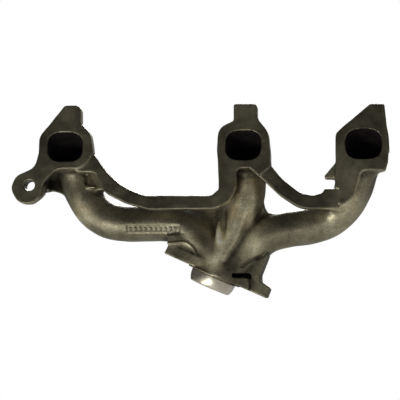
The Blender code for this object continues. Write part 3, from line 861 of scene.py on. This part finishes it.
def painted_light_factors(points, iron_round):
    """The painted light and shade at each point: 1 on open ground, painted darker in pockets."""
    ground = np.ones(len(points))
    cast = np.interp(iron_round, POCKET_SHADE_STEPS, POCKET_SHADE_LEVELS)
    in_front = np.clip((PAINTED_LIGHT_BACK - points[:, 1]) / PAINTED_LIGHT_FADE, 0, 1)
    for tone, areas in ((ground, GROUND_PAINTED_LIGHT), (cast, CAST_PAINTED_LIGHT)):
        for x, z, spread, change in areas:
            away = ((points[:, 0] - x) ** 2 + (points[:, 2] - z) ** 2) / spread**2
            tone *= 1 + change * in_front * np.exp(-away / 2)
    on_head_face = points[:, 1] < BAR_FRONT + GROUND_DEPTH
    return np.where(on_head_face, ground, cast).astype(np.float32)


def slot_numbers(field, bores, mesh):
    """The material slot of each face of the casting."""
    centres, normals = face_frames(mesh)
    slots = np.full(len(centres), CAST, np.int32)
    head_face = (centres[:, 1] < BAR_FRONT + GROUND_DEPTH) & (normals[:, 1] < -HEAD_FACING)
    height = outlet_coordinates(*centres.T)[2]
    outlet_face = (np.abs(height) < GROUND_DEPTH) & (normals @ OUTLET_AXIS > OUTLET_FACING)
    outlet_face &= centres[:, 0] > OUTLET_GRIND_FROM_X
    slots[head_face | outlet_face] = GROUND
    in_bore = sample(field.axes, bores.values, centres) < BORE_DEPTH
    slots[in_bore & ~head_face & ~outlet_face] = BORE
    return slots


def casting():
    """The whole casting as one skin."""
    field = cast_iron_field()
    # The share of iron round each point, which sets the painted shade in pockets.
    iron_round = enclosure(field, POCKET_SHADE_REACH)
    for height, size, seed in SKIN_WAVES:
        field.values += height * unevenness(field, size, seed)
    bores = bore_field()
    height, size, seed = BORE_WAVE
    bores.values += height * unevenness(field, size, seed)
    field.carve(bores, MOUTH_BLEND)
    machine(field)
    mesh = skin_mesh(field, "casting")
    piece = bpy.data.objects.new("casting", mesh)
    bpy.context.scene.collection.objects.link(piece)
    for material in (cast_surface(), ground_surface(), bore_surface()):
        mesh.materials.append(material)
    mesh.polygons.foreach_set("material_index", slot_numbers(field, bores, mesh))
    points = np.empty(len(mesh.vertices) * 3, np.float32)
    mesh.vertices.foreach_get("co", points)
    points = points.reshape(-1, 3) / MM
    # Painted highlights and shade, kept on the points for the materials.
    tone = mesh.attributes.new("tone", "FLOAT", "POINT")
    tone.data.foreach_set("value", painted_light_factors(points, sample(field.axes, iron_round, points)))
    mesh.shade_smooth()
    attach(piece, "root")
    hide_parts(*[name for name in frame["nodes"] if name != "outlet_seat_ring"])


# ---- Seat ring ------------------------------------------------------------------------------
def seat_ring():
    """The turned ring, as a profile of (radius, height) spun round the outlet's axis."""
    base = -BOSS_HEIGHT - RING_GAP
    profile = [
        (OUTLET_BORE_RADIUS + 0.4, base), (RING_BASE_RADIUS - 0.3, base),
        (RING_BASE_RADIUS, base - 0.3),
    ]
    for share in np.linspace(0.1, 0.93, 9):
        drop = (RING_BASE_RADIUS - RING_TIP_RADIUS) * share**RING_TAPER_POWER
        profile.append((RING_BASE_RADIUS - drop, base - RING_HEIGHT * share))
    tip = base - RING_HEIGHT
    profile += [
        (RING_TIP_RADIUS - 0.25, tip + 0.15), (RING_TIP_RADIUS - 0.8, tip),
        (OUTLET_BORE_RADIUS + 0.5, tip), (OUTLET_BORE_RADIUS, tip + 0.5),
        (OUTLET_BORE_RADIUS, base - 0.4),
    ]
    shell = bmesh.new()
    loops = []
    for radius, height in profile:
        loop = []
        for turn in np.linspace(0, math.tau, RING_SIDES, endpoint=False):
            out = OUTLET_ACROSS * math.cos(turn) + OUTLET_AWAY * math.sin(turn)
            point = OUTLET_CENTRE + out * radius - OUTLET_AXIS * height
            loop.append(shell.verts.new(Vector(point) * MM))
        loops.append(loop)
    for loop, following in zip(loops, loops[1:] + loops[:1]):
        for k in range(RING_SIDES):
            after = (k + 1) % RING_SIDES
            shell.faces.new((loop[k], loop[after], following[after], following[k]))
    bmesh.ops.recalc_face_normals(shell, faces=shell.faces)
    mesh = bpy.data.meshes.new("seat_ring")
    shell.to_mesh(mesh)
    shell.free()
    mesh.shade_smooth()
    mesh.set_sharp_from_angle(angle=math.radians(40))
    mesh.materials.append(turned_surface())
    piece = bpy.data.objects.new("seat_ring", mesh)
    bpy.context.scene.collection.objects.link(piece)
    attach(piece, "root")
    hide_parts("outlet_seat_ring")


# ---- Materials ------------------------------------------------------------------------------
class Surface:
    """Helpers to wire up a Principled material."""

    def __init__(self, name, metallic, **uniform):
        self.material = bpy.data.materials.new(name)
        self.material.use_nodes = True
        self.tree = self.material.node_tree
        self.shader = self.tree.nodes["Principled BSDF"]
        self.shader.inputs["Metallic"].default_value = metallic
        for socket, value in uniform.items():
            self.shader.inputs[socket].default_value = value
        self.place = self.tree.nodes.new("ShaderNodeTexCoord").outputs["Object"]

    def node(self, kind, inputs=None, **settings):
        """A new node, with each input linked to a socket or set to a value."""
        made = self.tree.nodes.new(kind)
        for name, value in settings.items():
            setattr(made, name, value)
        for name, value in (inputs or {}).items():
            if isinstance(value, bpy.types.NodeSocket):
                self.tree.links.new(value, made.inputs[name])
            else:
                made.inputs[name].default_value = value
        return made

    def noise(self, millimetres, detail=2.0, roughness=0.5, distortion=0.0):
        """Random values that change over about so many millimetres."""
        inputs = {
            "Vector": self.place, "Scale": 1 / (millimetres * MM), "Detail": detail,
            "Roughness": roughness, "Distortion": distortion,
        }
        return self.node("ShaderNodeTexNoise", inputs).outputs["Fac"]

    def ramp(self, value, stops):
        """A colour or a grey for each (position, colour) stop."""
        made = self.node("ShaderNodeValToRGB", {"Fac": value})
        ramp = made.color_ramp
        while len(ramp.elements) < len(stops):
            ramp.elements.new(0.5)
        for element, (position, colour) in zip(ramp.elements, stops):
            element.position = position
            element.color = (*colour, 1.0) if isinstance(colour, tuple) else (colour,) * 3 + (1.0,)
        return made.outputs["Color"]

    def mix(self, share, first, second, blend_type="MIX"):
        """Two colours mixed. A Mix node's colours are its inputs 6 and 7."""
        made = self.node("ShaderNodeMix", data_type="RGBA", blend_type=blend_type)
        for index, value in ((0, share), (6, first), (7, second)):
            if isinstance(value, bpy.types.NodeSocket):
                self.tree.links.new(value, made.inputs[index])
            else:
                made.inputs[index].default_value = value
        return made.outputs[2]

    def tone(self):
        """The painted highlights and shade that the casting keeps on its points."""
        return self.node("ShaderNodeAttribute", attribute_name="tone").outputs["Color"]

    def bump(self, value, height, normal=None):
        """Relief of so many millimetres."""
        inputs = {"Height": value, "Distance": height * MM, "Strength": 1.0}
        if normal is not None:
            inputs["Normal"] = normal
        return self.node("ShaderNodeBump", inputs).outputs["Normal"]

    def finish(self, colour, roughness, normal):
        """The material, with its shader wired up."""
        self.tree.links.new(colour, self.shader.inputs["Base Color"])
        self.tree.links.new(roughness, self.shader.inputs["Roughness"])
        self.tree.links.new(normal, self.shader.inputs["Normal"])
        return self.material


def cast_surface():
    """Blasted iron: a sandy grain, brown-grey oxide in patches, and brighter worn grains."""
    made = Surface("cast_skin", metallic=0.85)
    grain = made.noise(0.9, detail=3, roughness=0.65)
    patches = made.noise(11.0, detail=4, roughness=0.6, distortion=0.3)
    stains = made.noise(26.0, detail=3, roughness=0.6)
    base = made.ramp(patches, [(0.36, (0.160, 0.144, 0.094)), (0.64, (0.245, 0.222, 0.148))])
    brown = made.ramp(stains, [(0.55, 0.0), (0.75, 0.55)])
    base = made.mix(brown, base, (0.180, 0.135, 0.075, 1.0))
    fleck = made.ramp(grain, [(0.38, 0.72), (0.62, 1.20)])
    colour = made.mix(1.0, base, fleck, "MULTIPLY")
    # Painted highlights and shade, kept on the points, lighten or darken the colour.
    colour = made.mix(1.0, colour, made.tone(), "MULTIPLY")
    roughness = made.ramp(made.noise(3.0, detail=3), [(0.3, 0.38), (0.7, 0.50)])
    normal = made.bump(grain, 0.10)
    normal = made.bump(made.noise(2.6, detail=2), 0.14, normal)
    return made.finish(colour, roughness, normal)


def ground_surface():
    """Faces ground flat: finer, slightly darker, with faint grinding lines along the engine."""
    made = Surface("ground_face", metallic=0.85)
    stretch = made.node("ShaderNodeMapping", {"Vector": made.place, "Scale": (0.06, 1.0, 1.0)})
    lines = made.node(
        "ShaderNodeTexNoise",
        {"Vector": stretch.outputs["Vector"], "Scale": 1 / (0.7 * MM), "Detail": 2.0},
    ).outputs["Fac"]
    patches = made.noise(14.0, detail=4, roughness=0.6)
    base = made.ramp(patches, [(0.35, (0.085, 0.077, 0.051)), (0.65, (0.165, 0.150, 0.099))])
    fleck = made.ramp(lines, [(0.35, 0.93), (0.65, 1.06)])
    colour = made.mix(1.0, base, fleck, "MULTIPLY")
    # Painted reflections and shade, kept on the points, lighten or darken the colour.
    colour = made.mix(1.0, colour, made.tone(), "MULTIPLY")
    roughness = made.ramp(made.noise(5.0, detail=3), [(0.3, 0.34), (0.7, 0.44)])
    normal = made.bump(lines, 0.02)
    normal = made.bump(made.noise(1.2, detail=3), 0.03, normal)
    return made.finish(colour, roughness, normal)


def bore_surface():
    """The gas passages: dark scale, taken down to near black as painted shade, almost matt."""
    made = Surface("bore_scale_and_painted_shade", metallic=0.0, **{"Specular IOR Level": 0.15})
    scale = made.noise(4.0, detail=4, roughness=0.6)
    # Near-black colour: painted shade inside the ports, over the dark scale.
    colour = made.ramp(scale, [(0.35, (0.006, 0.005, 0.005)), (0.7, (0.020, 0.014, 0.013))])
    roughness = made.ramp(scale, [(0.3, 0.65), (0.7, 0.85)])
    return made.finish(colour, roughness, made.bump(made.noise(1.5, detail=3), 0.15))


def turned_surface():
    """The turned ring: bright, with fine rings round its axis and a warm tint."""
    made = Surface("turned_seat", metallic=1.0)
    along = made.node(
        "ShaderNodeVectorMath", {0: made.place, 1: tuple(OUTLET_AXIS)}, operation="DOT_PRODUCT"
    ).outputs["Value"]
    lines = made.node(
        "ShaderNodeTexNoise",
        {"W": along, "Scale": 1 / (0.35 * MM), "Detail": 2.0},
        noise_dimensions="1D",
    ).outputs["Fac"]
    patches = made.noise(7.0, detail=3)
    base = made.ramp(patches, [(0.35, (0.52, 0.47, 0.37)), (0.65, (0.66, 0.61, 0.50))])
    fleck = made.ramp(lines, [(0.35, 0.88), (0.65, 1.06)])
    colour = made.mix(1.0, base, fleck, "MULTIPLY")
    roughness = made.ramp(made.noise(3.0, detail=3), [(0.3, 0.28), (0.7, 0.38)])
    return made.finish(colour, roughness, made.bump(lines, 0.015))


# ---- Studio ---------------------------------------------------------------------------------
def add_floor():
    """A plain pale floor, below the camera's view."""
    paper = bpy.data.materials.new("floor_paper")
    paper.use_nodes = True
    shader = paper.node_tree.nodes["Principled BSDF"]
    shader.inputs["Base Color"].default_value = FLOOR_COLOUR
    shader.inputs["Roughness"].default_value = FLOOR_ROUGHNESS
    mesh = bpy.data.meshes.new("floor")
    signs = ((-1, -1), (1, -1), (1, 1), (-1, 1))
    corners = [(x * FLOOR_HALF_WIDTH, y * FLOOR_HALF_WIDTH, FLOOR_HEIGHT) for x, y in signs]
    mesh.from_pydata(corners, [], [(0, 1, 2, 3)])
    mesh.materials.append(paper)
    floor = bpy.data.objects.new("floor", mesh)
    bpy.context.scene.collection.objects.link(floor)


def add_panel(name, place, aim, size, watts):
    """A soft rectangular light that points at aim."""
    data = bpy.data.lights.new(name, "AREA")
    data.shape = "RECTANGLE"
    data.size, data.size_y = size
    data.energy = watts
    light = bpy.data.objects.new(name, data)
    light.location = place
    light.rotation_mode = "QUATERNION"
    light.rotation_quaternion = (Vector(aim) - Vector(place)).to_track_quat("-Z", "Y")
    bpy.context.scene.collection.objects.link(light)


def add_skylight(azimuth, elevation, spread, strength):
    """Broad light from high up behind the object, for the floor and the back."""
    data = bpy.data.lights.new("skylight", "SUN")
    data.angle = math.radians(spread)
    data.energy = strength
    light = bpy.data.objects.new("skylight", data)
    light.rotation_mode = "QUATERNION"
    light.rotation_quaternion = (-heading(azimuth, elevation)).to_track_quat("-Z", "Y")
    bpy.context.scene.collection.objects.link(light)


def add_world():
    """White to the camera, and to the object a dim room that is lighter above than below."""
    world = bpy.data.worlds.new("studio")
    bpy.context.scene.world = world
    world.use_nodes = True
    tree = world.node_tree
    tree.nodes.clear()
    coordinates = tree.nodes.new("ShaderNodeTexCoord")
    parts = tree.nodes.new("ShaderNodeSeparateXYZ")
    shade = tree.nodes.new("ShaderNodeMapRange")
    shade.inputs["From Min"].default_value = -1.0
    shade.inputs["From Max"].default_value = 1.0
    shade.inputs["To Min"].default_value = 0.0
    shade.inputs["To Max"].default_value = ROOM_LIGHT_ABOVE
    room = tree.nodes.new("ShaderNodeBackground")
    backdrop = tree.nodes.new("ShaderNodeBackground")
    room.inputs["Color"].default_value = (1.0, 1.0, 1.0, 1.0)
    backdrop.inputs["Color"].default_value = (1.0, 1.0, 1.0, 1.0)
    seen = tree.nodes.new("ShaderNodeLightPath")
    mix = tree.nodes.new("ShaderNodeMixShader")
    output = tree.nodes.new("ShaderNodeOutputWorld")
    tree.links.new(coordinates.outputs["Generated"], parts.inputs["Vector"])
    tree.links.new(parts.outputs["Z"], shade.inputs["Value"])
    tree.links.new(shade.outputs["Result"], room.inputs["Strength"])
    tree.links.new(seen.outputs["Is Camera Ray"], mix.inputs["Fac"])
    tree.links.new(room.outputs["Background"], mix.inputs[1])
    tree.links.new(backdrop.outputs["Background"], mix.inputs[2])
    tree.links.new(mix.outputs["Shader"], output.inputs["Surface"])


def add_lights():
    for name, azimuth, elevation, distance, size, watts in LAMPS:
        place = Vector(LIT_POINT) + heading(azimuth, elevation) * distance
        add_panel(name, place, LIT_POINT, size, watts)
    add_skylight(azimuth=180, elevation=30, spread=20, strength=2.6)


bpy.context.scene.view_settings.view_transform = "Standard"
add_camera()
casting()
seat_ring()
add_floor()
add_world()
add_lights()
